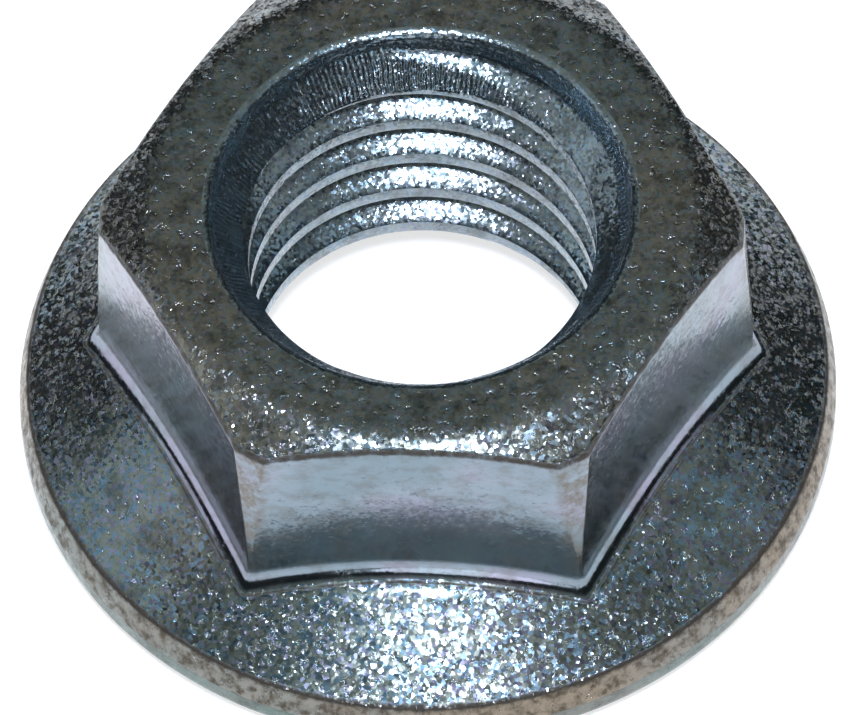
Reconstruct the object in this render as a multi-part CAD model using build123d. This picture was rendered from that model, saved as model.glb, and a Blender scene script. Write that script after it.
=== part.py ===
from build123d import *
import math
import os

# Serrated flange nut for an M10 x 1.5 right-hand thread, in millimetres.
# Z is the thread axis. The origin is on that axis in the plane of the serration tips,
# which is the plane that the nut bears on. Two of the hexagon's flats face -Y and +Y.

# ---- driving dimensions: hexagon ----
ACROSS_FLATS = 14.0
NUT_HEIGHT = 9.0
CROWN_RADIUS = 1.05  # rounded top shoulder, which runs on outwards as a cone
CROWN_SLOPE = 32.0  # degrees down from level, the cone outside the rounding
CROWN_INSET = 0.6  # from the flats in to where the crown begins
CORNER_UNDERFILL = 0.23  # how far the forged corners fall short, just below the crown
CORNER_FULL_RISE = 0.6  # above the cone at the corners, where they start to fall short

# ---- driving dimensions: flange ----
FLANGE_DIAMETER = 20.2
RIM_TAPER = 0.2  # how far the rim draws in at its top edge
RIM_TOP_HEIGHT = 1.75
RIM_STRAIGHT_HEIGHT = 1.15  # top of the straight lower band of the rim
CONE_SLOPE = 34.5  # degrees up from level, towards the hexagon
ROOT_FILLET = 0.6  # between the flats and the cone, less where the ledge outside is narrow
RIM_TOP_ROUND = 0.12
RIM_BOTTOM_ROUND = 0.3

# ---- driving dimensions: serrations ----
TOOTH_COUNT = 24
TOOTH_RIM_MARGIN = 0.7  # from the rim in to the outer ends of the teeth
TOOTH_INNER_DIAMETER = 12.6
TOOTH_HEIGHT = 0.42  # at the outer diameter, falling to nothing at the axis
TOOTH_LAND_ANGLE = 1.5  # degrees of flat left on each tip
TOOTH_BACK_ANGLE = 0.9  # degrees that the steep locking face leans back
TOOTH_PHASE = 7.5  # degrees from +X, through a corner, to the first steep face
TOOTH_END_SLOPE = 35.0  # degrees from the axis, the outer ends of the teeth
SEAT_RELIEF = 0.35  # depth of the plain ring inside the teeth

# ---- driving dimensions: bore ----
THREAD_MINOR_DIAMETER = 8.5
COUNTERSINK_DIAMETER = 10.4
COUNTERSINK_ANGLE = 90.0  # included angle, both ends

# ---- worked out ----
FLAT_RADIUS = ACROSS_FLATS / 2
SHARP_CORNER_RADIUS = FLAT_RADIUS / math.cos(math.pi / 6)
CORNER_TOP_RADIUS = SHARP_CORNER_RADIUS - CORNER_UNDERFILL
TOP_FACE_RADIUS = FLAT_RADIUS - CROWN_INSET
FLANGE_RADIUS = FLANGE_DIAMETER / 2
RIM_TOP_RADIUS = FLANGE_RADIUS - RIM_TAPER
TOOTH_OUTER_RADIUS = FLANGE_RADIUS - TOOTH_RIM_MARGIN
TOOTH_INNER_RADIUS = TOOTH_INNER_DIAMETER / 2
MINOR_RADIUS = THREAD_MINOR_DIAMETER / 2
COUNTERSINK_RADIUS = COUNTERSINK_DIAMETER / 2
CONE_RISE = math.tan(math.radians(CONE_SLOPE))
CLEAR = 1.0  # how far a cutter runs past what it cuts
CONE_OVERHANG = 3.0  # how far the cone runs past the flange before it is trimmed
LEDGE_USED = 0.8  # most of the ledge outside a corner that the root fillet may take
TOOTH_PITCH = 360 / TOOTH_COUNT
TURNING_PLANE = Plane.YZ  # turned outlines close in the middle of a flat, clear of the corners


def cone_height(radius):
    """Height of the flange's cone at a radius."""
    return RIM_TOP_HEIGHT + CONE_RISE * (RIM_TOP_RADIUS - radius)


def root_fillet_radius():
    """The root fillet, kept on the ledge of cone that lies outside the corners."""
    turn = math.radians(90 - CONE_SLOPE)
    foot_run = math.tan(turn / 2) * math.cos(math.radians(CONE_SLOPE)) / math.cos(math.pi / 6)
    ledge = RIM_TOP_RADIUS - RIM_TOP_ROUND - SHARP_CORNER_RADIUS
    return min(ROOT_FILLET, LEDGE_USED * ledge / foot_run)


def hexagon_on_cone():
    """The wrench hexagon standing on the flange's cone, with its coved root.

    The cone is left wider than the flange here, and turned_outline trims it.
    """
    wide = max(FLANGE_RADIUS, SHARP_CORNER_RADIUS) + CONE_OVERHANG
    core = FLAT_RADIUS - CLEAR
    floor = cone_height(wide) - CLEAR
    outline = Polyline(
        (0, floor),
        (wide, floor),
        (wide, cone_height(wide)),
        (core, cone_height(core)),
        (0, cone_height(core)),
        close=True,
    )
    cone = revolve(TURNING_PLANE * make_face(outline), Axis.Z)
    prism = Pos(0, 0, floor + CLEAR / 2) * extrude(
        RegularPolygon(SHARP_CORNER_RADIUS, 6), NUT_HEIGHT - floor - CLEAR / 2
    )
    body = cone + prism
    root = [e for e in body.edges() if is_root_edge(e)]
    return fillet(root, root_fillet_radius())


def is_root_edge(edge):
    """Whether an edge is one of the curves where a flat meets the cone."""
    near = 1e-2
    box = edge.bounding_box()
    lowest = cone_height(SHARP_CORNER_RADIUS) - near
    highest = cone_height(FLAT_RADIUS) + near
    return box.min.Z > lowest and box.max.Z < highest and edge.geom_type != GeomType.LINE


def crown_point(degrees):
    """The point of the crown's rounding that slopes by an angle from level."""
    turn = math.radians(degrees)
    radius = TOP_FACE_RADIUS + CROWN_RADIUS * math.sin(turn)
    return (radius, NUT_HEIGHT - CROWN_RADIUS * (1 - math.cos(turn)))


def turned_outline():
    """The turned shape that trims the flange to its rim and crowns the hexagon.

    From the bottom up it has the serration blank, the rim, the space over the cone,
    the cone of the under-filled corners and the crown.
    """
    taper_end = RIM_TOP_HEIGHT + CLEAR / 4
    taper_slope = RIM_TAPER / (RIM_TOP_HEIGHT - RIM_STRAIGHT_HEIGHT)
    taper_end_radius = RIM_TOP_RADIUS - taper_slope * (taper_end - RIM_TOP_HEIGHT)
    full_height = cone_height(SHARP_CORNER_RADIUS) + CORNER_FULL_RISE
    outside = FLANGE_RADIUS + CLEAR
    crown_edge = (TOP_FACE_RADIUS, NUT_HEIGHT)
    crown_middle = crown_point(CROWN_SLOPE / 2)
    crown_end = crown_point(CROWN_SLOPE)
    crown_fall = math.tan(math.radians(CROWN_SLOPE)) * (CORNER_TOP_RADIUS - crown_end[0])
    crown_foot = (CORNER_TOP_RADIUS, crown_end[1] - crown_fall)
    crown = ThreePointArc(crown_edge, crown_middle, crown_end)
    rest = Polyline(
        crown_end,
        crown_foot,
        (SHARP_CORNER_RADIUS, full_height),
        (outside, full_height),
        (outside, taper_end),
        (taper_end_radius, taper_end),
        (FLANGE_RADIUS, RIM_STRAIGHT_HEIGHT),
        (FLANGE_RADIUS, TOOTH_HEIGHT),
        (TOOTH_OUTER_RADIUS + TOOTH_HEIGHT * math.tan(math.radians(TOOTH_END_SLOPE)), TOOTH_HEIGHT),
        (TOOTH_OUTER_RADIUS, 0),
        (0, 0),
        (0, NUT_HEIGHT),
        crown_edge,
    )
    return revolve(TURNING_PLANE * make_face(crown + rest), Axis.Z)


def rim_circle(body, radius, height):
    """The circular edges of a body at a radius and height."""
    near = 1e-3
    circles = body.edges().filter_by(GeomType.CIRCLE)
    return [e for e in circles if abs(e.radius - radius) < near and abs(e.arc_center.Z - height) < near]


def forged_blank():
    """The nut before its teeth and bore: hexagon, cone and rounded rim."""
    body = hexagon_on_cone() & turned_outline()
    body = fillet(rim_circle(body, RIM_TOP_RADIUS, RIM_TOP_HEIGHT), RIM_TOP_ROUND)
    return fillet(rim_circle(body, FLANGE_RADIUS, TOOTH_HEIGHT), RIM_BOTTOM_ROUND)


def bore_cutter():
    """The bore at the thread's minor diameter, with a countersink at each end."""
    depth = (COUNTERSINK_RADIUS - MINOR_RADIUS) / math.tan(math.radians(COUNTERSINK_ANGLE / 2))
    outline = Polyline(
        (0, -CLEAR),
        (COUNTERSINK_RADIUS, -CLEAR),
        (COUNTERSINK_RADIUS, SEAT_RELIEF),
        (MINOR_RADIUS, SEAT_RELIEF + depth),
        (MINOR_RADIUS, NUT_HEIGHT - depth),
        (COUNTERSINK_RADIUS, NUT_HEIGHT),
        (COUNTERSINK_RADIUS, NUT_HEIGHT + CLEAR),
        (0, NUT_HEIGHT + CLEAR),
        close=True,
    )
    return revolve(TURNING_PLANE * make_face(outline), Axis.Z)


def seat_relief():
    """The plain ring inside the teeth, which they run out into."""
    ring = extrude(Circle(TOOTH_INNER_RADIUS), SEAT_RELIEF + CLEAR)
    return Pos(0, 0, -CLEAR) * ring


def on_ray(radius, degrees, height):
    """A point at a radius and an angle about the thread axis."""
    turn = math.radians(degrees)
    return Vector(radius * math.cos(turn), radius * math.sin(turn), height)


def tooth_gap():
    """One gap of the ratchet ring, as a pyramid whose edges all run to the origin.

    Each tooth has a long ramp that leads when the nut is tightened and a steep face
    that bites when it is turned back. The ramp, the steep face and the bearing plane
    all pass through the origin, so every face of the gap is flat and its depth grows
    with the radius.
    """
    reach = TOOTH_OUTER_RADIUS + CLEAR
    root_height = TOOTH_HEIGHT * reach / TOOTH_OUTER_RADIUS
    steep_tip = on_ray(reach, 0, 0)
    root = on_ray(reach, TOOTH_BACK_ANGLE, root_height)
    ramp_tip = on_ray(reach, TOOTH_PITCH - TOOTH_LAND_ANGLE, 0)
    apex = Vector(0, 0, 0)
    sides = [(apex, steep_tip, root), (apex, root, ramp_tip), (apex, ramp_tip, steep_tip)]
    base = (steep_tip, ramp_tip, root)
    faces = [Face(Wire.make_polygon(corners, close=True)) for corners in (*sides, base)]
    return Solid(Shell(faces))


def serrated_flange_nut():
    """The whole nut, one solid."""
    gap = tooth_gap()
    gaps = [gap.rotate(Axis.Z, TOOTH_PHASE + index * TOOTH_PITCH) for index in range(TOOTH_COUNT)]
    nut = forged_blank() - gaps
    nut = nut - seat_relief()
    return nut - bore_cutter()


nut = serrated_flange_nut()
nut.label = "flange_nut"
nut.color = Color(0.62, 0.65, 0.7)
os.makedirs("parts", exist_ok=True)
export_step(nut, "parts/flange_nut.step")
print(nut.label, "solids", len(nut.solids()), "volume", round(nut.volume, 2), nut.bounding_box())
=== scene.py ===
import logging
import math
from dataclasses import dataclass, field
from enum import Enum
from functools import partial

import bmesh
import bpy
import numpy as np
from mathutils import Matrix, Vector


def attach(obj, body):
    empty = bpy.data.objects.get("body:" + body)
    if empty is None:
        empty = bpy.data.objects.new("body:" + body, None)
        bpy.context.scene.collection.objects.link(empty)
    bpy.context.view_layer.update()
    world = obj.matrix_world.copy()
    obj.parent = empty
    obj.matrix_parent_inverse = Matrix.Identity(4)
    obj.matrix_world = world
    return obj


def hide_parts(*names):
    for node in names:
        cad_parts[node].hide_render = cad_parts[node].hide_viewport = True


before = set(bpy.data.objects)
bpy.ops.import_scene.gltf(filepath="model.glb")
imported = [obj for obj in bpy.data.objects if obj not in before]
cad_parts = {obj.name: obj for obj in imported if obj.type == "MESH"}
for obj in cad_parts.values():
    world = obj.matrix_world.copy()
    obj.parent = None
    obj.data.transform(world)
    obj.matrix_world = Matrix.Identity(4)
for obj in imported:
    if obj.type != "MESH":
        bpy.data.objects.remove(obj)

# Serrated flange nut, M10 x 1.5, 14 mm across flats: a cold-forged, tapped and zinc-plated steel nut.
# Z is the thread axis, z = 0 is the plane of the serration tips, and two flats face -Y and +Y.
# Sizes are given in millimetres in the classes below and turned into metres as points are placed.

log = logging.getLogger("serrated_flange_nut")

MM = 0.001
COLUMNS = 480  # vertices in each loop of the forged skin
SECTORS = 6  # one for each corner of the hexagon
MARKS = ("grime", "land", "coarse", "clear")  # attributes that each loop gives its points; clear masks the painted dark reflection on the lower flats
SPECK_MM = 0.35  # size of the specks of dirt and of the wear on the corner lands
WAVE_MM = 1.6  # size of the forging's waves
PIT_MM = 0.22
PIT_DEPTH_MM = 0.03
COAT_ROUGHNESS = 0.18  # clear film
RIBS = 230.0  # radians of chatter for each radian round the bore


class Zone(Enum):
    """The parts of the nut that forging, tapping and plating leave with different finishes."""

    TOP = 0
    FLATS = 1
    FLANGE = 2
    RIM = 3
    RIM_EDGE = 4
    SEAT = 5
    BORE = 6


# ---------------------------------------------------------------------------------------------
# Small helpers
# ---------------------------------------------------------------------------------------------


def deselect_all() -> None:
    """Leaves no object selected."""
    for item in list(bpy.context.selected_objects):
        item.select_set(False)


def make_active(item: bpy.types.Object) -> None:
    """Selects one object alone and makes it active."""
    deselect_all()
    item.select_set(True)
    bpy.context.view_layer.objects.active = item


def soft_positive(value: np.ndarray, width: float) -> np.ndarray:
    """A smooth version of max(value, 0).

    Args:
        value: the numbers to limit.
        width: how far round zero the corner is softened.

    Returns:
        The limited numbers.
    """
    return (value + np.sqrt(value * value + width * width)) / 2


def soft_max(one: np.ndarray, two: np.ndarray, width: float) -> np.ndarray:
    """The larger of two values, with the crossing softened over a width."""
    return two + soft_positive(one - two, width)


def linear(hex_colour: str) -> tuple[float, float, float, float]:
    """Turns an sRGB hex colour into linear RGBA.

    Args:
        hex_colour: six hexadecimal digits, such as "8f98a3".

    Returns:
        Linear red, green, blue and an alpha of one.
    """
    channels = [int(hex_colour[i : i + 2], 16) / 255 for i in (0, 2, 4)]
    parts = [c / 12.92 if c <= 0.04045 else ((c + 0.055) / 1.055) ** 2.4 for c in channels]
    return (parts[0], parts[1], parts[2], 1.0)


def add_node(
    tree: bpy.types.NodeTree, kind: str, settings: dict | None = None, inputs: dict | None = None
) -> bpy.types.Node:
    """Adds a node with its settings and its links.

    Args:
        tree: the node tree that gets the node.
        kind: the node's type name.
        settings: properties of the node, by name.
        inputs: values or output sockets for its inputs, by socket name or number.

    Returns:
        The new node.
    """
    node = tree.nodes.new(kind)
    for name, value in (settings or {}).items():
        setattr(node, name, value)
    for name, value in (inputs or {}).items():
        if isinstance(value, bpy.types.NodeSocket):
            tree.links.new(value, node.inputs[name])
        else:
            node.inputs[name].default_value = value
    return node


def set_stops(ramp: bpy.types.Node, stops: tuple[tuple[float, str], ...]) -> bpy.types.NodeSocket:
    """Gives a colour ramp its stops.

    Args:
        ramp: the ramp's node.
        stops: positions and sRGB hex colours, in order.

    Returns:
        The ramp's colour.
    """
    elements = ramp.color_ramp.elements
    for element, (position, colour) in ((elements[0], stops[0]), (elements[1], stops[-1])):
        element.position = position
        element.color = linear(colour)
    for position, colour in stops[1:-1]:
        elements.new(position).color = linear(colour)
    return ramp.outputs["Color"]


# ---------------------------------------------------------------------------------------------
# Shape: one loop of the forged skin
# ---------------------------------------------------------------------------------------------


def even(value: float) -> np.ndarray:
    """The same value in every column."""
    return np.full(COLUMNS, float(value))


@dataclass(frozen=True)
class Loop:
    """One closed loop of the forged skin, running once round the thread axis."""

    radius: np.ndarray  # mm
    angle: np.ndarray  # degrees
    height: np.ndarray  # mm
    zone: Zone  # finish of the faces that lead up to this loop
    grime: np.ndarray = field(default_factory=lambda: even(0))  # 0 clean to 1 packed with dirt
    land: np.ndarray = field(default_factory=lambda: even(0))  # 1 on the rubbed corner lands
    coarse: np.ndarray = field(default_factory=lambda: even(0))  # 1 where the crystals lean most
    clear: np.ndarray = field(default_factory=lambda: even(1))  # 1 in most places, 0 where the lower flats get a painted dark reflection of the flange


@dataclass(frozen=True)
class Columns:
    """Where the skin's columns stand round the axis, in degrees.

    On the hexagon they follow the edges of the corner lands. Under the flange they crowd
    round the steep faces of the teeth.
    """

    land_columns: int = 8  # columns across one corner land
    edge_crowding: float = 0.08  # how much columns gather towards the lands on a flat
    tooth_crowding: float = 0.8  # how much columns gather at a steep face
    teeth: int = 24
    steep_middle: float = 0.45  # degrees, middle of the first steep face

    def hexagon(self, land_half: float) -> np.ndarray:
        """Column angles on the hexagon.

        Args:
            land_half: half the angle that a corner land takes, in degrees.

        Returns:
            One angle for each column.
        """
        per_sector = COLUMNS // SECTORS
        half = self.land_columns // 2
        k = np.arange(per_sector)
        share = (k - half) / (per_sector - 2 * half)
        share = np.clip(share, 0, 1)
        share = share - self.edge_crowding * np.sin(2 * np.pi * share)
        across = land_half + (60 - 2 * land_half) * share
        first = land_half * k / half
        last = 60 - land_half * (per_sector - k) / half
        inside = np.where(k < half, first, np.where(k > per_sector - half, last, across))
        return np.concatenate([inside + 60 * sector for sector in range(SECTORS)])

    def teeth_angles(self) -> np.ndarray:
        """Column angles under the flange, crowded at each tooth's steep face."""
        per_tooth = COLUMNS // self.teeth
        pitch = 360 / self.teeth
        share = np.arange(COLUMNS) / per_tooth
        crowd = self.tooth_crowding * np.sin(2 * np.pi * share) / (2 * np.pi)
        return pitch * (share + crowd) + self.steep_middle

    def land_mask(self) -> np.ndarray:
        """1 in the columns that lie on a corner land, fading out over the columns beside it."""
        per_sector = COLUMNS // SECTORS
        k = np.arange(COLUMNS) % per_sector
        off = np.minimum(k, per_sector - k) - self.land_columns // 2
        return np.clip(1 - off / 5, 0, 1)


@dataclass(frozen=True)
class Flange:
    """The coned washer flange with its rounded rim."""

    diameter: float = 20.2
    rim_taper: float = 0.2
    rim_top_height: float = 1.75
    rim_straight_height: float = 1.15
    cone_slope: float = 34.5
    rim_top_round: float = 0.12
    rim_bottom_round: float = 0.3
    base_height: float = 0.42
    foot_band: float = 0.6  # width of the band beside the root fillet
    groove_depth: float = 0.014
    bead_height: float = 0.004
    cone_loops: int = 9
    foot_loops: int = 10

    @property
    def radius(self) -> float:
        """Rim radius, in mm."""
        return self.diameter / 2

    @property
    def rim_top_radius(self) -> float:
        """Radius where the rim's taper meets the cone, in mm."""
        return self.radius - self.rim_taper

    @property
    def rise(self) -> float:
        """Rise of the cone for each mm inwards."""
        return math.tan(math.radians(self.cone_slope))

    def cone_height(self, radius: np.ndarray | float) -> np.ndarray | float:
        """Height of the cone at a radius."""
        return self.rim_top_height + self.rise * (self.rim_top_radius - radius)

    def rim_loops(self, angle: np.ndarray, floor: "Serrations") -> list[Loop]:
        """Loops up the rim, from the flat under it to its rounded top edge.

        Args:
            angle: column angles under the flange.
            floor: the serrations, whose gaps nick the rounded bottom edge.

        Returns:
            Loops in order, bottom first.
        """
        loops = []
        centre_radius = self.radius - self.rim_bottom_round
        centre_height = self.base_height + self.rim_bottom_round
        for step in range(8):
            turn = math.radians(90 * step / 7)
            radius = even(centre_radius + self.rim_bottom_round * math.sin(turn))
            height = even(centre_height - self.rim_bottom_round * math.cos(turn))
            height = np.maximum(height, floor.gap_height(radius, angle))
            loops.append(Loop(radius, angle, height, Zone.RIM, even(0.15)))
        for height in (0.86, 1.0, self.rim_straight_height - 0.06):
            loops.append(Loop(even(self.radius), angle, even(height), Zone.RIM, even(0.1)))
        slope = self.rim_taper / (self.rim_top_height - self.rim_straight_height)
        for height in (self.rim_straight_height + 0.06, 1.33, 1.47, 1.6):
            radius = self.radius - slope * (height - self.rim_straight_height)
            loops.append(Loop(even(radius), angle, even(height), Zone.RIM_EDGE, even(0.3)))
        loops.extend(self.rim_top_loops(angle))
        return loops

    def rim_top_loops(self, angle: np.ndarray) -> list[Loop]:
        """Loops round the small radius between the rim and the cone."""
        taper = math.atan2(self.rim_taper, self.rim_top_height - self.rim_straight_height)
        slope = math.radians(self.cone_slope)
        out = np.array([math.cos(taper), math.sin(taper)])
        over = np.array([math.sin(slope), math.cos(slope)])
        corner = np.array([self.rim_top_radius, self.rim_top_height])
        reach = self.rim_top_round / (1 + float(out @ over))
        centre = corner - (out + over) * reach
        start = taper
        end = math.pi / 2 - slope
        loops = []
        for step in range(6):
            turn = start + (end - start) * step / 5
            point = centre + self.rim_top_round * np.array([math.cos(turn), math.sin(turn)])
            dirt = 0.55 + 0.35 * step / 5
            loops.append(Loop(even(point[0]), angle, even(point[1]), Zone.RIM_EDGE, even(dirt)))
        return loops

    def cone_loops_to(self, start: Loop, end: Loop) -> list[Loop]:
        """Loops over the cone, from the rounded rim to the foot of the root fillet.

        The forging die leaves a shallow groove and a slight bead along the foot.

        Args:
            start: the last loop of the rim.
            end: the loop at the foot of the fillet.

        Returns:
            Loops between the two, the last one included.
        """
        near = end.radius + self.foot_band
        radii = [start.radius + (near - start.radius) * k / self.cone_loops for k in range(1, self.cone_loops + 1)]
        steps = self.foot_loops
        radii += [end.radius + self.foot_band * (1 - k / steps) ** 1.3 for k in range(1, steps + 1)]
        loops = []
        for number, radius in enumerate(radii):
            share = (number + 1) / len(radii)
            ease = share * share * (3 - 2 * share)
            angle = start.angle + (end.angle - start.angle) * ease
            off = radius - end.radius
            groove = self.groove_depth * np.exp(-(((off - 0.17) / 0.08) ** 2))
            bead = self.bead_height * np.exp(-(((off - 0.38) / 0.09) ** 2))
            height = self.cone_height(radius) + (bead - groove) * np.clip(off / 0.06, 0, 1)
            out = start.radius - radius
            grime = np.clip(0.8 - out / 0.12, 0, 1) + 0.75 * np.exp(-(((off - 0.07) / 0.06) ** 2))
            loops.append(Loop(radius, angle, height, Zone.FLANGE, np.clip(grime, 0, 1)))
        return loops


@dataclass(frozen=True)
class Serrations:
    """The ring of ratchet teeth under the flange and the plain relief ring inside it."""

    count: int = 24
    phase: float = 7.5  # degrees from +X to the first steep face
    outer_radius: float = 9.4
    inner_radius: float = 6.3
    height: float = 0.42
    land_angle: float = 1.5
    back_angle: float = 0.9
    end_slope: float = 35.0
    relief: float = 0.35
    edge_softness: float = 0.03

    def gap_height(self, radius: np.ndarray, angle: np.ndarray) -> np.ndarray:
        """Height of the toothed face above the bearing plane.

        Args:
            radius: where, in mm.
            angle: where, in degrees.

        Returns:
            Heights in mm, nought on the tips.
        """
        pitch = 360 / self.count
        along = np.mod(angle - self.phase, pitch)
        steep = along / self.back_angle
        ramp = 1 - (along - self.back_angle) / (pitch - self.land_angle - self.back_angle)
        depth = np.minimum(steep, ramp)
        depth = soft_positive(depth, self.edge_softness) - self.edge_softness / 2
        depth = np.clip(depth, 0, 1 - self.edge_softness)
        return self.height * radius / self.outer_radius * depth

    def loops(self, angle: np.ndarray, start_radius: float) -> list[Loop]:
        """Loops from the relief ring's inner edge out over the teeth to the flat under the rim.

        Args:
            angle: column angles under the flange.
            start_radius: where the relief ring starts, beside the countersink, in mm.

        Returns:
            Loops in order, innermost first.
        """
        inner = self.inner_radius
        loops = []
        for radius in (start_radius, 5.7, 6.05, inner - 0.04):
            loops.append(Loop(even(radius), angle, even(self.relief), Zone.SEAT, even(0.2)))
        wall_foot = self.gap_height(even(inner), angle)
        corner = even(self.relief - 0.03)
        loops.append(Loop(even(inner), angle, corner, Zone.SEAT, even(0.7)))
        loops.append(Loop(even(inner), angle, wall_foot + 0.025, Zone.SEAT, even(0.3)))
        for radius in (inner + 0.03, 6.5, 7.1, 7.7, 8.3, 8.9, 9.25):
            height = self.gap_height(even(radius), angle)
            dirt = 0.6 * height / self.height
            loops.append(Loop(even(radius), angle, height, Zone.SEAT, dirt))
        tip = self.gap_height(even(self.outer_radius), angle)
        end = math.tan(math.radians(self.end_slope))
        edge_radius = self.outer_radius + tip * end
        loops.append(Loop(edge_radius, angle, tip, Zone.SEAT, 0.6 * tip / self.height))
        foot = self.outer_radius + self.height * end
        middle = edge_radius + (foot - edge_radius) * 0.9
        middle_height = tip + (self.height - tip) * 0.9
        loops.append(Loop(middle, angle, middle_height, Zone.SEAT, even(0.5)))
        outside = even(foot + 0.04)
        outside_height = np.maximum(self.height, self.gap_height(outside, angle))
        loops.append(Loop(outside, angle, outside_height, Zone.SEAT, even(0.5)))
        return loops


@dataclass(frozen=True)
class Hexagon:
    """The wrench hexagon, its coved root, under-filled corners and rounded crown."""

    flange: Flange
    columns: Columns
    across_flats: float = 14.0
    height: float = 9.0
    crown_radius: float = 1.05
    crown_slope: float = 32.0
    crown_inset: float = 0.6
    corner_underfill: float = 0.23
    corner_full_rise: float = 0.6
    root_fillet: float = 0.6
    edge_round: float = 0.05
    least_land: float = 0.4  # degrees, half the rounded corner low down
    ring_radius: float = 5.78  # faint ring that the heading punch leaves on the top face
    ring_depth: float = 0.009
    flat_loops: int = 16
    crown_loops: int = 14
    fillet_loops: int = 9

    @property
    def flat_radius(self) -> float:
        """Half the size across flats, in mm."""
        return self.across_flats / 2

    @property
    def sharp_radius(self) -> float:
        """Radius of the sharp corners, in mm."""
        return self.flat_radius / math.cos(math.radians(30))

    @property
    def top_face_radius(self) -> float:
        """Radius where the crown meets the flat top ring, in mm."""
        return self.flat_radius - self.crown_inset

    @property
    def land_top_radius(self) -> float:
        """Radius of the under-filled corners at the crown, in mm."""
        return self.sharp_radius - self.corner_underfill

    def crown_height(self, radius: np.ndarray | float) -> np.ndarray:
        """Height of the crown at a radius: rounded inside, a cone outside."""
        slope = math.radians(self.crown_slope)
        reach = np.asarray(radius, float) - self.top_face_radius
        turned = np.minimum(reach, self.crown_radius * math.sin(slope))
        arc = self.crown_radius - np.sqrt(self.crown_radius**2 - turned**2)
        return self.height - arc - (reach - turned) * math.tan(slope)

    def land_radius(self, height: float) -> float:
        """Radius of the corner lands at a height, in mm."""
        low = float(self.flange.cone_height(self.sharp_radius)) + self.corner_full_rise
        high = float(self.crown_height(self.land_top_radius))
        share = min(max((height - low) / (high - low), 0), 1)
        return self.sharp_radius - self.corner_underfill * share

    def land_half(self, height: float) -> float:
        """Half the angle that a corner land takes at a height, in degrees."""
        half = 30 - math.degrees(math.acos(min(self.flat_radius / self.land_radius(height), 1)))
        return max(half, self.least_land)

    def off_middle(self, angle: np.ndarray) -> np.ndarray:
        """Angle from the middle of the nearest flat, in radians, limited to 30 degrees."""
        return np.radians(np.mod(angle, 60) - 30)

    def wall_radius(self, angle: np.ndarray, land_half: float) -> np.ndarray:
        """Radius of the flats and corner lands.

        Args:
            angle: column angles in degrees.
            land_half: half the land's angle at this loop.

        Returns:
            Radii in mm.
        """
        limit = math.radians(30 - land_half)
        turn = np.clip(np.abs(self.off_middle(angle)), 0, limit)
        return self.flat_radius / np.cos(turn)

    def fillet_size(self, angle: np.ndarray) -> np.ndarray:
        """Radius of the root fillet in a plane through the axis, which grows towards the corners."""
        slope = math.radians(self.flange.cone_slope)
        square = 1 / math.cos(slope) - math.tan(slope)
        turned = 1 / math.cos(slope) - math.tan(slope) * np.cos(self.off_middle(angle))
        return self.root_fillet * turned / square

    def fillet(self) -> list[Loop]:
        """Loops of the root fillet, from its foot on the cone up to the flats."""
        angle = self.columns.hexagon(self.least_land)
        wall = self.wall_radius(angle, self.least_land)
        size = self.fillet_size(angle)
        slope = math.radians(self.flange.cone_slope)
        centre_radius = wall + size
        centre_height = self.flange.cone_height(centre_radius) + size / math.cos(slope)
        loops = []
        for step in range(self.fillet_loops):
            turn = (math.pi / 2 - slope) * (1 - step / (self.fillet_loops - 1))
            radius = centre_radius - size * math.cos(turn)
            height = centre_height - size * math.sin(turn)
            dirt = 0.3 if step == 0 else 0.0
            # clear fades to 0 up the fillet's top, where the painted dark reflection of the lower flats begins
            clear = even(1 - max(step - 5, 0) / 3)
            loops.append(Loop(radius, angle, height, Zone.FLATS, even(dirt), clear=clear))
        return loops

    def walls(self, foot: Loop) -> list[Loop]:
        """Loops up the flats and corner lands, from the fillet to just under the crown.

        Args:
            foot: the top loop of the fillet.

        Returns:
            Loops in order, lowest first. The last is the edge of the crown.
        """
        corner_foot = float(foot.height[0])
        corner_top = float(self.crown_height(self.land_top_radius))
        lands = self.columns.land_mask()
        shares = [step / self.flat_loops for step in range(1, self.flat_loops)]
        shares += [1 - 0.22 / (corner_top - corner_foot), 1 - 0.09 / (corner_top - corner_foot), 1.0]
        loops = []
        for share in sorted(set(shares)):
            corner_height = corner_foot + (corner_top - corner_foot) * share
            half = self.land_half(corner_height)
            angle = self.columns.hexagon(half)
            wall = self.wall_radius(angle, half)
            foot_height = np.interp(angle, np.append(foot.angle, 360), np.append(foot.height, foot.height[0]))
            top_height = self.crown_height(wall)
            height = foot_height + (top_height - foot_height) * share
            if share == 1.0:
                wall = wall - self.edge_round * 0.35
                height = height - self.edge_round * 0.2
            near_top = 0.75 if share > 0.97 else (0.35 if share > 0.9 else 0.0)
            land = lands * (1.0 if half > self.least_land else 0.6)
            # clear is 0 low on the flats and rises to 1 above: the painted dark reflection of the flange on the
            # lower flats
            clear = even(np.clip((share - 0.22) / 0.36, 0, 1))
            loops.append(Loop(wall, angle, height, Zone.FLATS, even(near_top), land, clear=clear))
        return loops

    def crown(self, inner_radius: float) -> list[Loop]:
        """Loops over the rounded crown and the flat top ring.

        Args:
            inner_radius: where the ring ends, beside the countersink, in mm.

        Returns:
            Loops in order, from just inside the crown's edge to the countersink.
        """
        half = self.land_half(float(self.crown_height(self.land_top_radius)))
        angle = self.columns.hexagon(half)
        wall = self.wall_radius(angle, half)
        edge = wall - self.edge_round
        loops = []
        for step in range(self.crown_loops + 1):
            share = step / self.crown_loops
            radius = self.top_face_radius + (edge - self.top_face_radius) * (1 - share)
            dirt = 0.6 if step == 0 else 0.0
            coarse = np.clip((radius - self.top_face_radius) / 0.3, 0, 1)
            loops.append(Loop(radius, angle, self.crown_height(radius), Zone.TOP, even(dirt), even(0), coarse))
        for radius in np.linspace(self.top_face_radius, inner_radius, 20)[1:]:
            pressed = self.ring_depth * math.exp(-(((radius - self.ring_radius) / 0.1) ** 2))
            loops.append(Loop(even(radius), angle, even(self.height - pressed), Zone.TOP))
        return loops


# ---------------------------------------------------------------------------------------------
# Shape: threaded bore
# ---------------------------------------------------------------------------------------------


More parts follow.
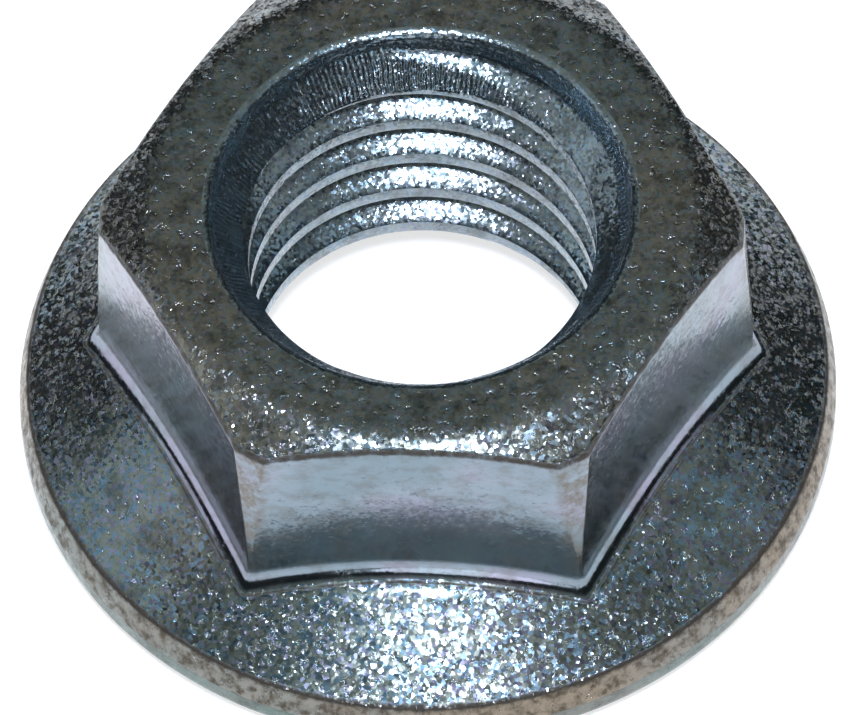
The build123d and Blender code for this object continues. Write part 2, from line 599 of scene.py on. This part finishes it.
@dataclass(frozen=True)
class ThreadedBore:
    """The tapped M10 x 1.5 right-hand thread between two punched and reamed countersinks.

    From the face down, each countersink is a rounded lip, a steep punched wall and a 90 degree
    reamed cone that takes the top off the first crest.
    """

    minor_radius: float = 4.25
    major_radius: float = 5.0
    pitch: float = 1.5
    crest_width: float = 0.42
    root_width: float = 0.19
    crest_round: float = 0.05
    crest_phase: float = -0.08  # height of a crest's middle at +X, in mm
    lip_radius: float = 5.07  # where the steep wall turns into the lip
    lip_round: float = 0.26
    wall_slope: float = 0.18  # growth of the steep wall's radius for each mm of height
    cone_depth: float = 1.2  # depth at which the cone reaches the crests
    top: float = 9.0
    bottom: float = 0.35
    rows: int = 24  # rows of faces in one pitch
    steps: int = 192  # steps in one turn
    lip: float = 0.15  # skin past each face, which is wrapped round the lip

    @property
    def mouth_radius(self) -> float:
        """Radius where each countersink's lip meets the face, in mm."""
        return self.lip_radius + self.lip_round

    def reamed_radius(self, depth: np.ndarray) -> np.ndarray:
        """Radius of the countersink below its lip.

        Args:
            depth: distance below the face, in mm.

        Returns:
            Radii in mm.
        """
        cone = self.minor_radius + self.cone_depth - depth
        wall = self.lip_radius - self.wall_slope * (depth - self.lip_round)
        return -soft_max(-cone, -wall, 0.03)

    def wrap_lip(self, depth: np.ndarray, radius: np.ndarray) -> tuple[np.ndarray, np.ndarray]:
        """Wraps the skin nearest a face round the rounded lip.

        Args:
            depth: distance below the face, in mm, down to minus the spare skin.
            radius: radii there, in mm.

        Returns:
            The new depths and radii.
        """
        share = np.clip((self.lip_round - depth) / (self.lip_round + self.lip), 0, 1)
        turn = share * math.pi / 2
        wrapped_depth = self.lip_round * (1 - np.sin(turn))
        wrapped_radius = self.lip_radius + self.lip_round * (1 - np.cos(turn))
        on_lip = depth < self.lip_round
        return np.where(on_lip, wrapped_depth, depth), np.where(on_lip, wrapped_radius, radius)

    def profile_radius(self, along: float) -> float:
        """Radius of the thread form.

        Args:
            along: distance from a crest's middle, in mm.

        Returns:
            Radius in mm.
        """
        along = abs((along + self.pitch / 2) % self.pitch - self.pitch / 2)
        run = self.pitch / 2 - self.root_width / 2 - self.crest_width / 2
        slope = (self.major_radius - self.minor_radius) / run
        flank = self.minor_radius + slope * (along - self.crest_width / 2)
        rounded = float(soft_max(np.array(flank), np.array(self.minor_radius), self.crest_round))
        inner = float(soft_positive(np.array(self.major_radius - rounded), self.crest_round * 0.6))
        return self.major_radius - inner

    def build(self) -> bpy.types.Object:
        """Models the bore's skin: a profile screwed up the axis and reamed at both ends.

        Returns:
            The bore as an open mesh, its lips flat in the planes of the two faces.
        """
        deselect_all()
        bpy.ops.mesh.primitive_plane_add(size=MM)
        item = bpy.context.active_object
        item.name = "thread_skin"
        bpy.ops.object.mode_set(mode="EDIT")
        bpy.ops.mesh.select_all(action="SELECT")
        bpy.ops.mesh.merge(type="CENTER")
        start = self.crest_phase - 2 * self.pitch
        for row in range(self.rows + 1):
            if row:
                bpy.ops.mesh.extrude_region_move()
            along = self.pitch * row / self.rows
            skin = bmesh.from_edit_mesh(item.data)
            for vertex in skin.verts:
                if vertex.select:
                    vertex.co = Vector((self.profile_radius(along), 0, start + along)) * MM
            bmesh.update_edit_mesh(item.data)
        bpy.ops.object.mode_set(mode="OBJECT")
        screw = item.modifiers.new("thread", "SCREW")
        screw.axis = "Z"
        screw.angle = 2 * math.pi
        screw.screw_offset = self.pitch * MM
        screw.iterations = 9
        screw.steps = self.steps
        screw.render_steps = self.steps
        screw.use_merge_vertices = False
        bpy.ops.object.modifier_apply(modifier=screw.name)
        self.ream(item)
        return item

    def ream(self, item: bpy.types.Object) -> None:
        """Cuts the countersinks, trims both ends of the thread skin and rounds the lips."""
        mesh = item.data
        points = self.read_points(mesh)
        depth = np.minimum(self.top - points[:, 2], points[:, 2] - self.bottom)
        radius = np.hypot(points[:, 0], points[:, 1])
        cone = self.reamed_radius(depth)
        reamed = mesh.attributes.new("reamed", "FLOAT", "POINT")
        marked = np.clip((cone - radius) / 0.05 + 0.5, 0, 1) * (depth > 0.4)
        reamed.data.foreach_set("value", marked)
        self.set_radius(points, np.maximum(radius, cone))
        self.write_points(mesh, points)
        make_active(item)
        bpy.ops.object.mode_set(mode="EDIT")
        bpy.ops.mesh.select_all(action="SELECT")
        bpy.ops.mesh.remove_doubles(threshold=0.0005 * MM)
        cuts = (
            (self.top + self.lip, 1, True),
            (self.bottom - self.lip, -1, True),
            (self.top - self.lip_round, 1, False),
            (self.bottom + self.lip_round, -1, False),
        )
        for height, way, trim in cuts:
            bpy.ops.mesh.select_all(action="SELECT")
            bpy.ops.mesh.bisect(
                plane_co=(0, 0, height * MM), plane_no=(0, 0, way), clear_outer=trim, threshold=0.001 * MM
            )
        bpy.ops.mesh.select_all(action="SELECT")
        bpy.ops.mesh.remove_doubles(threshold=0.002 * MM)
        bpy.ops.object.mode_set(mode="OBJECT")
        points = self.read_points(mesh)
        radius = np.hypot(points[:, 0], points[:, 1])
        upper, upper_radius = self.wrap_lip(self.top - points[:, 2], radius)
        lower, lower_radius = self.wrap_lip(points[:, 2] - self.bottom, radius)
        high = points[:, 2] > (self.top + self.bottom) / 2
        self.set_radius(points, np.where(high, upper_radius, lower_radius))
        points[:, 2] = np.where(high, self.top - upper, self.bottom + lower)
        self.write_points(mesh, points)

    @staticmethod
    def set_radius(points: np.ndarray, radius: np.ndarray) -> None:
        """Moves points straight out from or in to the thread axis."""
        turn = np.arctan2(points[:, 1], points[:, 0])
        points[:, 0] = radius * np.cos(turn)
        points[:, 1] = radius * np.sin(turn)

    @staticmethod
    def read_points(mesh: bpy.types.Mesh) -> np.ndarray:
        """The mesh's points in mm."""
        flat = np.empty(len(mesh.vertices) * 3)
        mesh.vertices.foreach_get("co", flat)
        return flat.reshape(-1, 3) / MM

    @staticmethod
    def write_points(mesh: bpy.types.Mesh, points: np.ndarray) -> None:
        """Puts points given in mm back into the mesh."""
        mesh.vertices.foreach_set("co", (points * MM).ravel())
        mesh.update()


# ---------------------------------------------------------------------------------------------
# Finishes
# ---------------------------------------------------------------------------------------------


@dataclass(frozen=True)
class ZincPlate:
    """Bright zinc plate on forged steel, clear-passivated, handled and a little grimy.

    The passivation gives thin blue, violet and straw tints. Each of the zinc's crystals leans its
    own way under a clear film, and so the plate glitters where it catches the light.
    """

    name: str
    cool: str = "64756f"
    plain: str = "6d7873"
    warm: str = "757771"
    tarnish: str = "34372f"
    grime: str = "2c251b"
    land: str = "6a6255"
    blue: str = "4a86b0"
    violet: str = "7a76a8"
    film_amount: float = 0.4
    tint_mm: float = 3.5
    tarnish_mm: float = 0.9
    tarnish_amount: float = 0.5
    grain_mm: float = 0.1  # size of the zinc's crystals, drawn a few times coarser than they are
    crystal_tilt: float = 0.07  # how far the crystals lean, as a slope
    glitter_tilt: float = 0.17  # how far the facets of the clear film lean
    glitter: float = 0.8
    wave_depth_mm: float = 0.02
    pit_amount: float = 0.5
    painted_dark_reflection: str = ""  # painted dark reflection colour for the lower flats, where they mirror the flange; empty for none
    chatter: float = 0.0  # depth of the reamer's chatter marks, in mm
    streak: float = 1.0  # how much stains are drawn out along the height
    smooth: float = 0.19
    rough: float = 0.31

    def build(self) -> bpy.types.Material:
        """Makes the material's nodes.

        Returns:
            The finished material.
        """
        material = bpy.data.materials.new(self.name)
        material.use_nodes = True
        tree = material.node_tree
        tree.nodes.clear()
        node = partial(add_node, tree)
        place = node("ShaderNodeTexCoord").outputs["Object"]
        drawn = node("ShaderNodeMapping", None, {"Vector": place, "Scale": (1, 1, self.streak)}).outputs["Vector"]
        marks = {name: node("ShaderNodeAttribute", {"attribute_name": name}).outputs["Fac"] for name in MARKS[:3]}
        noise = {}
        for name, vector, size_mm, detail, roughness in (
            ("tint", place, self.tint_mm, 3.0, 0.5),
            ("blotch", drawn, self.tarnish_mm, 7.0, 0.65),
            ("speck", place, SPECK_MM, 6.0, 0.7),
            ("wave", place, WAVE_MM, 3.0, 0.5),
            ("holes", place, PIT_MM, 4.0, 0.6),
        ):
            inputs = {"Vector": vector, "Scale": 1 / (size_mm * MM), "Detail": detail, "Roughness": roughness}
            noise[name] = node("ShaderNodeTexNoise", None, inputs).outputs["Fac"]
        cells, fine = (
            node("ShaderNodeTexVoronoi", {"feature": "F1"}, {"Vector": place, "Scale": 1 / (size * MM)}).outputs["Color"]
            for size in (self.grain_mm, 0.6 * self.grain_mm)
        )
        packed = node("ShaderNodeMath", {"operation": "ADD"}, {0: marks["grime"], 1: noise["speck"]}).outputs[0]
        span = {}
        for name, kind, value, low, high, to_low, to_high in (
            ("tarnish", "SMOOTHSTEP", noise["blotch"], 0.42, 0.66, 0.0, self.tarnish_amount),
            ("dirt", "SMOOTHSTEP", packed, 0.85, 1.3, 0.0, 1.0),
            ("worn", "LINEAR", noise["speck"], 0.42, 0.6, 0.05, 0.9),
            ("sheen", "LINEAR", noise["blotch"], 0.35, 0.65, self.smooth, self.rough),
            ("pits", "SMOOTHSTEP", noise["holes"], 0.32, 0.42, 0.0, 1.0),
            ("lean", "LINEAR", marks["coarse"], 0.0, 1.0, 1.0, 1.4),
        ):
            inputs = {"Value": value, "From Min": low, "From Max": high, "To Min": to_low, "To Max": to_high}
            span[name] = node("ShaderNodeMapRange", {"interpolation_type": kind}, inputs)
        dirt = span["dirt"].outputs["Result"]
        on_land = node(
            "ShaderNodeMath", {"operation": "MULTIPLY"}, {0: marks["land"], 1: span["worn"].outputs["Result"]}
        ).outputs[0]
        ramp = node("ShaderNodeValToRGB", None, {"Fac": noise["tint"]})
        colour = set_stops(ramp, ((0.38, self.cool), (0.5, self.plain), (0.62, self.warm)))
        # paints a dark reflection of the flange on the lower flats, mixed in where the clear attribute is 0
        if self.painted_dark_reflection:
            clear = node("ShaderNodeAttribute", {"attribute_name": "clear"}).outputs["Fac"]
            inputs = {0: clear, 6: linear(self.painted_dark_reflection), 7: colour}
            colour = node("ShaderNodeMix", {"data_type": "RGBA"}, inputs).outputs[2]
        chance = node("ShaderNodeSeparateColor", None, {"Color": cells}).outputs["Red"]
        ramp = node("ShaderNodeValToRGB", None, {"Fac": chance})
        ramp.color_ramp.interpolation = "CONSTANT"
        film = set_stops(ramp, ((0.0, self.blue), (0.28, self.plain), (0.82, self.violet)))
        for share, over in (
            (self.film_amount, film),
            (span["tarnish"].outputs["Result"], linear(self.tarnish)),
            (on_land, linear(self.land)),
            (dirt, linear(self.grime)),
        ):
            colour = node("ShaderNodeMix", {"data_type": "RGBA"}, {0: share, 6: colour, 7: over}).outputs[2]
        metal = node("ShaderNodeMapRange", None, {"Value": dirt, "To Min": 1.0, "To Max": 0.25}).outputs["Result"]
        inputs = {0: dirt, 2: span["sheen"].outputs["Result"], 3: 0.7}
        matt = node("ShaderNodeMix", {"data_type": "FLOAT"}, inputs).outputs[0]
        inputs = {"Strength": 1.0, "Distance": self.wave_depth_mm * MM, "Height": noise["wave"]}
        forged = node("ShaderNodeBump", None, inputs).outputs["Normal"]
        inputs = {"Strength": self.pit_amount, "Distance": PIT_DEPTH_MM * MM, "Normal": forged}
        bump = node("ShaderNodeBump", None, inputs | {"Height": span["pits"].outputs["Result"]})
        if self.chatter:
            bump = self.add_chatter(tree, place, bump)
        normal = bump.outputs["Normal"]
        inputs = {
            "Base Color": colour,
            "Metallic": metal,
            "Roughness": matt,
            "Normal": self.lean(tree, normal, [cells], self.crystal_tilt, span["lean"]),
            "Coat Weight": self.glitter,
            "Coat Roughness": COAT_ROUGHNESS,
            "Coat Normal": self.lean(tree, normal, [cells, fine], self.glitter_tilt, span["lean"]),
        }
        shader = node("ShaderNodeBsdfPrincipled", None, inputs)
        node("ShaderNodeOutputMaterial", None, {"Surface": shader.outputs["BSDF"]})
        return material

    @staticmethod
    def lean(
        tree: bpy.types.NodeTree,
        normal: bpy.types.NodeSocket,
        cell_colours: list[bpy.types.NodeSocket],
        tilt: float,
        more: bpy.types.Node,
    ) -> bpy.types.NodeSocket:
        """Leans each crystal its own way.

        Args:
            tree: the material's nodes.
            normal: the normal before.
            cell_colours: random colours, one for each cell, whose channels give the lean.
            tilt: the most that one colour leans the normal, as a slope.
            more: node whose result scales the lean.

        Returns:
            The leaning normal.
        """
        for colour in cell_colours:
            way = add_node(
                tree,
                "ShaderNodeVectorMath",
                {"operation": "MULTIPLY_ADD"},
                {0: colour, 1: (2 * tilt,) * 3, 2: (-tilt,) * 3},
            )
            scaled = add_node(
                tree,
                "ShaderNodeVectorMath",
                {"operation": "SCALE"},
                {0: way.outputs["Vector"], "Scale": more.outputs["Result"]},
            )
            normal = add_node(
                tree, "ShaderNodeVectorMath", {"operation": "ADD"}, {0: normal, 1: scaled.outputs["Vector"]}
            ).outputs["Vector"]
        return add_node(tree, "ShaderNodeVectorMath", {"operation": "NORMALIZE"}, {0: normal}).outputs["Vector"]

    def add_chatter(
        self, tree: bpy.types.NodeTree, place: bpy.types.NodeSocket, under: bpy.types.Node
    ) -> bpy.types.Node:
        """Adds the reamer's chatter: fine ribs up the countersink, about 0.15 mm apart.

        Args:
            tree: the material's nodes.
            place: object coordinates.
            under: the bump node below this one.

        Returns:
            The bump node with the ribs on it.
        """
        parts = add_node(tree, "ShaderNodeSeparateXYZ", None, {"Vector": place})
        turn = add_node(
            tree, "ShaderNodeMath", {"operation": "ARCTAN2"}, {0: parts.outputs["Y"], 1: parts.outputs["X"]}
        )
        ribs = add_node(tree, "ShaderNodeMath", {"operation": "MULTIPLY"}, {0: turn.outputs[0], 1: RIBS})
        drift = add_node(
            tree, "ShaderNodeTexNoise", None, {"Vector": place, "Scale": 1 / (0.6 * MM), "Detail": 2.0}
        )
        wander = add_node(
            tree,
            "ShaderNodeMath",
            {"operation": "MULTIPLY_ADD"},
            {0: drift.outputs["Fac"], 1: 9.0, 2: ribs.outputs[0]},
        )
        wave = add_node(tree, "ShaderNodeMath", {"operation": "SINE"}, {0: wander.outputs[0]})
        reamed = add_node(tree, "ShaderNodeAttribute", {"attribute_name": "reamed"})
        height = add_node(
            tree, "ShaderNodeMath", {"operation": "MULTIPLY"}, {0: wave.outputs[0], 1: reamed.outputs["Fac"]}
        )
        return add_node(
            tree,
            "ShaderNodeBump",
            None,
            {
                "Strength": 1.0,
                "Distance": self.chatter * MM,
                "Height": height.outputs[0],
                "Normal": under.outputs["Normal"],
            },
        )


def zone_finishes() -> dict[Zone, ZincPlate]:
    """The finish of each zone of the nut."""
    return {
        # pressed steel, dull and brown in the middle, and a crown that sparkles
        Zone.TOP: ZincPlate(
            "zinc_plate_pressed_top",
            cool="6c7674",
            plain="757974",
            warm="7d7a6f",
            tarnish="36372f",
            tarnish_mm=0.6,
            tarnish_amount=0.75,
            film_amount=0.25,
            crystal_tilt=0.07,
            glitter_tilt=0.17,
            glitter=0.9,
            smooth=0.2,
            rough=0.34,
        ),
        # steel wiped smooth by the trimming die, a blue-grey sheen, and a painted dark reflection of the flange on
        # the lower flats
        Zone.FLATS: ZincPlate(
            "zinc_plate_drawn_flats",
            cool="7c8e98",
            plain="8a97a2",
            warm="9494a6",
            # painted dark reflection of the flange on the lower flats
            painted_dark_reflection="5a6c73",
            tarnish="62594e",
            tarnish_mm=0.7,
            crystal_tilt=0.012,
            glitter_tilt=0.05,
            glitter=0.3,
            wave_depth_mm=0.012,
            pit_amount=0.1,
            streak=1.5,
            smooth=0.1,
            rough=0.18,
            tarnish_amount=0.35,
            film_amount=0.0,
        ),
        # forged steel, dark green-grey with a patch of sparkle facing the key lamp
        Zone.FLANGE: ZincPlate("zinc_plate_forged_cone"),
        # the rim as formed, a plain soft grey band
        Zone.RIM: ZincPlate("zinc_plate_rim_band", film_amount=0.0, crystal_tilt=0.03, glitter=0.2),
        # sheared steel, a matt and rusty brown line
        Zone.RIM_EDGE: ZincPlate(
            "zinc_plate_sheared_rim",
            cool="808580",
            plain="87827a",
            warm="8c8070",
            tarnish="4e4436",
            tarnish_mm=0.3,
            tarnish_amount=0.9,
            film_amount=0.0,
            pit_amount=1.0,
            rough=0.5,
            glitter=0.2,
        ),
        # coined teeth, plated like the cone
        Zone.SEAT: ZincPlate("zinc_plate_coined_teeth"),
        # freshly cut steel under the zinc, the brightest and finest grain
        Zone.BORE: ZincPlate(
            "zinc_plate_tapped_thread",
            cool="7c8e92",
            plain="869498",
            warm="8a9498",
            grain_mm=0.07,
            crystal_tilt=0.12,
            glitter_tilt=0.19,
            glitter=0.8,
            smooth=0.19,
            rough=0.3,
            film_amount=0.3,
            wave_depth_mm=0.004,
            pit_amount=0.1,
            chatter=0.006,
        ),
    }


# ---------------------------------------------------------------------------------------------
# The nut
# ---------------------------------------------------------------------------------------------


@dataclass
class SerratedFlangeNut:
    """The whole nut: forged skin, tapped bore and the finishes on them."""

    columns: Columns = field(default_factory=Columns)
    flange: Flange = field(default_factory=Flange)
    serrations: Serrations = field(default_factory=Serrations)
    bore: ThreadedBore = field(default_factory=ThreadedBore)

    def skin_loops(self) -> list[Loop]:
        """All loops of the forged skin, from the lower countersink's lip round to the upper one's."""
        under = self.columns.teeth_angles()
        hexagon = Hexagon(self.flange, self.columns)
        mouth = self.bore.mouth_radius + 0.05
        loops = self.serrations.loops(under, mouth)
        loops += self.flange.rim_loops(under, self.serrations)
        fillet = hexagon.fillet()
        loops += self.flange.cone_loops_to(loops[-1], fillet[0])
        loops += fillet[1:]
        loops += hexagon.walls(fillet[-1])
        loops += hexagon.crown(mouth)
        return loops

    def build_skin(self, loops: list[Loop]) -> bpy.types.Object:
        """Extrudes the forged skin loop by loop from a circle.

        Args:
            loops: the loops to extrude through, in order.

        Returns:
            The open skin.
        """
        deselect_all()
        first = loops[0]
        bpy.ops.mesh.primitive_circle_add(vertices=COLUMNS, radius=float(first.radius[0]) * MM, fill_type="NOTHING")
        item = bpy.context.active_object
        item.name = "forged_skin"
        for name in (*MARKS, "reamed"):
            item.data.attributes.new(name, "FLOAT", "POINT")
        bpy.ops.object.mode_set(mode="EDIT")
        bpy.ops.mesh.select_all(action="SELECT")
        skin = bmesh.from_edit_mesh(item.data)
        column = skin.verts.layers.int.new("column")
        for vertex in skin.verts:
            turn = math.degrees(math.atan2(vertex.co.y, vertex.co.x)) % 360
            vertex[column] = round(turn * COLUMNS / 360) % COLUMNS
        bmesh.update_edit_mesh(item.data)
        for number, loop in enumerate(loops):
            if number:
                bpy.ops.mesh.extrude_region_move()
            self.place_loop(item, loop)
        bpy.ops.object.mode_set(mode="OBJECT")
        item.data.attributes.remove(item.data.attributes["column"])
        return item

    @staticmethod
    def place_loop(item: bpy.types.Object, loop: Loop) -> None:
        """Moves the selected vertices onto a loop and marks the faces that lead up to it."""
        skin = bmesh.from_edit_mesh(item.data)
        column = skin.verts.layers.int["column"]
        marks = {skin.verts.layers.float[name]: getattr(loop, name) for name in MARKS}
        turn = np.radians(loop.angle)
        across = loop.radius * np.cos(turn) * MM
        along = loop.radius * np.sin(turn) * MM
        up = loop.height * MM
        for vertex in skin.verts:
            if vertex.select:
                k = vertex[column]
                vertex.co = (across[k], along[k], up[k])
                for layer, values in marks.items():
                    vertex[layer] = values[k]
                for face in vertex.link_faces:
                    face.material_index = loop.zone.value
        bmesh.update_edit_mesh(item.data)

    def join(self, skin: bpy.types.Object, thread: bpy.types.Object) -> bpy.types.Object:
        """Joins the skins, fills the ring between them at both faces and closes the shell.

        Args:
            skin: the forged skin.
            thread: the bore's skin.

        Returns:
            The finished, closed nut.
        """
        for name in MARKS:
            thread.data.attributes.new(name, "FLOAT", "POINT")
        thread.data.polygons.foreach_set("material_index", [Zone.BORE.value] * len(thread.data.polygons))
        make_active(skin)
        thread.select_set(True)
        bpy.ops.object.join()
        nut = skin
        nut.name = "serrated_flange_nut_body"
        nut.data.name = nut.name
        bpy.ops.object.mode_set(mode="EDIT")
        bpy.ops.mesh.select_mode(type="EDGE")
        middle = self.bore.top / 2
        for top in (True, False):
            shell = bmesh.from_edit_mesh(nut.data)
            for edge in shell.edges:
                height = (edge.verts[0].co.z + edge.verts[1].co.z) / 2 / MM
                edge.select_set(edge.is_boundary and (height > middle) == top)
            shell.select_flush(True)
            bmesh.update_edit_mesh(nut.data)
            bpy.ops.mesh.fill(use_beauty=True)
            shell = bmesh.from_edit_mesh(nut.data)
            for face in shell.faces:
                if face.select:
                    face.material_index = (Zone.TOP if top else Zone.SEAT).value
            bmesh.update_edit_mesh(nut.data)
        bpy.ops.mesh.select_all(action="SELECT")
        bpy.ops.mesh.normals_make_consistent(inside=False)
        bpy.ops.object.mode_set(mode="OBJECT")
        bpy.ops.object.shade_smooth_by_angle(angle=math.radians(32))
        return nut

    def build(self) -> bpy.types.Object:
        """Builds the nut and dresses it.

        Returns:
            The finished piece, riding on the root body in place of the plain node.
        """
        finishes = [finish.build() for finish in zone_finishes().values()]
        skin = self.build_skin(self.skin_loops())
        thread = self.bore.build()
        for item in (skin, thread):
            for material in finishes:
                item.data.materials.append(material)
        nut = self.join(skin, thread)
        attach(nut, "root")
        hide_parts("flange_nut")
        return nut


# ---------------------------------------------------------------------------------------------
# Studio
# ---------------------------------------------------------------------------------------------


@dataclass(frozen=True)
class Studio:
    """Camera, floor, lamps and world round the nut."""

    azimuth: float = 3.93
    elevation: float = 56.559
    distance: float = 373.0
    roll: float = -2.237
    target: tuple[float, float, float] = (0.1437, 0.0099, 2.329)
    lens: float = 629.36
    floor_radius: float = 3.0

    def facing(self, azimuth: float, elevation: float) -> Vector:
        """Unit vector from the nut towards an azimuth and elevation, in degrees."""
        turn = math.radians(azimuth)
        rise = math.radians(elevation)
        return Vector((math.sin(turn) * math.cos(rise), -math.cos(turn) * math.cos(rise), math.sin(rise)))

    def add_camera(self) -> None:
        """Sets up the camera, looking down on the nut with a long lens."""
        back = self.facing(self.azimuth, self.elevation)
        turn = math.radians(self.azimuth)
        right = Vector((math.cos(turn), math.sin(turn), 0))
        up = back.cross(right)
        roll = math.radians(self.roll)
        rolled_right = right * math.cos(roll) + up * math.sin(roll)
        rolled_up = -right * math.sin(roll) + up * math.cos(roll)
        data = bpy.data.cameras.new("camera")
        data.sensor_width = 36
        data.lens = self.lens
        data.clip_start = 0.01
        data.clip_end = 20
        camera = bpy.data.objects.new("camera", data)
        bpy.context.scene.collection.objects.link(camera)
        turned = Matrix((rolled_right, rolled_up, back)).transposed().to_4x4()
        camera.matrix_world = Matrix.Translation((Vector(self.target) + back * self.distance) * MM) @ turned
        bpy.context.scene.camera = camera

    def add_lamp(
        self, name: str, azimuth: float, elevation: float, away: float, size: float, power: float, colour: str
    ) -> None:
        """Adds a soft round lamp that faces the nut.

        Args:
            name: what to call it.
            azimuth: its bearing in degrees, 0 in front of the nut.
            elevation: its height in degrees.
            away: how far off it stands, in metres.
            size: its diameter, in metres.
            power: its power, in watts.
            colour: its colour, in sRGB hex.
        """
        data = bpy.data.lights.new(name, "AREA")
        data.shape = "DISK"
        data.size = size
        data.energy = power
        data.color = linear(colour)[:3]
        lamp = bpy.data.objects.new(name, data)
        lamp.visible_camera = False
        bpy.context.scene.collection.objects.link(lamp)
        towards = self.facing(azimuth, elevation)
        lamp.matrix_world = Matrix.Translation(towards * away) @ towards.to_track_quat("Z", "Y").to_matrix().to_4x4()

    def add_floor(self) -> None:
        """Adds the plain pale floor, which is white to the camera and in reflections and keeps the shadow."""
        deselect_all()
        bpy.ops.mesh.primitive_circle_add(vertices=96, radius=self.floor_radius, fill_type="NGON")
        floor = bpy.context.active_object
        floor.name = "floor"
        material = bpy.data.materials.new("pale_card")
        material.use_nodes = True
        tree = material.node_tree
        tree.nodes.clear()
        path = add_node(tree, "ShaderNodeLightPath")
        seen = path.outputs["Is Camera Ray"]
        for ray in ("Is Glossy Ray", "Is Transmission Ray"):
            inputs = {0: seen, 1: path.outputs[ray]}
            seen = add_node(tree, "ShaderNodeMath", {"operation": "MAXIMUM"}, inputs).outputs[0]
        glow = add_node(tree, "ShaderNodeMath", {"operation": "MULTIPLY"}, {0: seen, 1: 0.7})
        card = add_node(tree, "ShaderNodeBsdfDiffuse", None, {"Color": linear("b4b4b4")})
        light = add_node(tree, "ShaderNodeEmission", None, {"Color": (1, 1, 1, 1), "Strength": glow.outputs[0]})
        both = add_node(tree, "ShaderNodeAddShader", None, {0: card.outputs[0], 1: light.outputs[0]})
        add_node(tree, "ShaderNodeOutputMaterial", None, {"Surface": both.outputs[0]})
        floor.data.materials.append(material)

    def add_world(self) -> None:
        """Adds the dim room round the studio."""
        world = bpy.data.worlds.new("room")
        bpy.context.scene.world = world
        world.use_nodes = True
        tree = world.node_tree
        tree.nodes.clear()
        way = add_node(tree, "ShaderNodeTexCoord").outputs["Generated"]
        rise = add_node(tree, "ShaderNodeSeparateXYZ", None, {"Vector": way}).outputs["Z"]
        ramp = add_node(tree, "ShaderNodeValToRGB", None, {"Fac": rise})
        bright = ((0.0, "c8ccd0"), (0.03, "c8ccd0"))
        dim = ((0.045, "282c2c"), (0.56, "2c302f"))
        ceiling = ((0.76, "a0a49e"), (1.0, "acaea6"))
        room = set_stops(ramp, bright + dim + ceiling)
        sky = add_node(tree, "ShaderNodeBackground", None, {"Color": room, "Strength": 1.0})
        add_node(tree, "ShaderNodeOutputWorld", None, {"Surface": sky.outputs[0]})

    def build(self) -> None:
        """Sets the whole studio up."""
        bpy.context.scene.view_settings.view_transform = "Standard"
        self.add_world()
        self.add_floor()
        self.add_lamp("key", 5, 65.5, 0.5, 0.075, 3.4, "dfeafc")
        self.add_lamp("left", -90, 34, 0.6, 0.35, 0.3, "f4f8ff")
        self.add_lamp("right", 92, 36, 0.6, 0.3, 0.12, "f4f8ff")
        self.add_lamp("front", 4, 13, 0.6, 0.28, 0.42, "f4f8ff")
        self.add_camera()


def main() -> None:
    """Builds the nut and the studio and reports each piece."""
    logging.basicConfig(level=logging.INFO, format="%(message)s")
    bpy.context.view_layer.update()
    nut = SerratedFlangeNut().build()
    mesh = nut.data
    mesh.calc_loop_triangles()
    log.info("piece %s: %d triangles, %d points", nut.name, len(mesh.loop_triangles), len(mesh.vertices))
    Studio().build()
    log.info("studio: camera, floor and lamps")


if __name__ == "__main__":
    main()
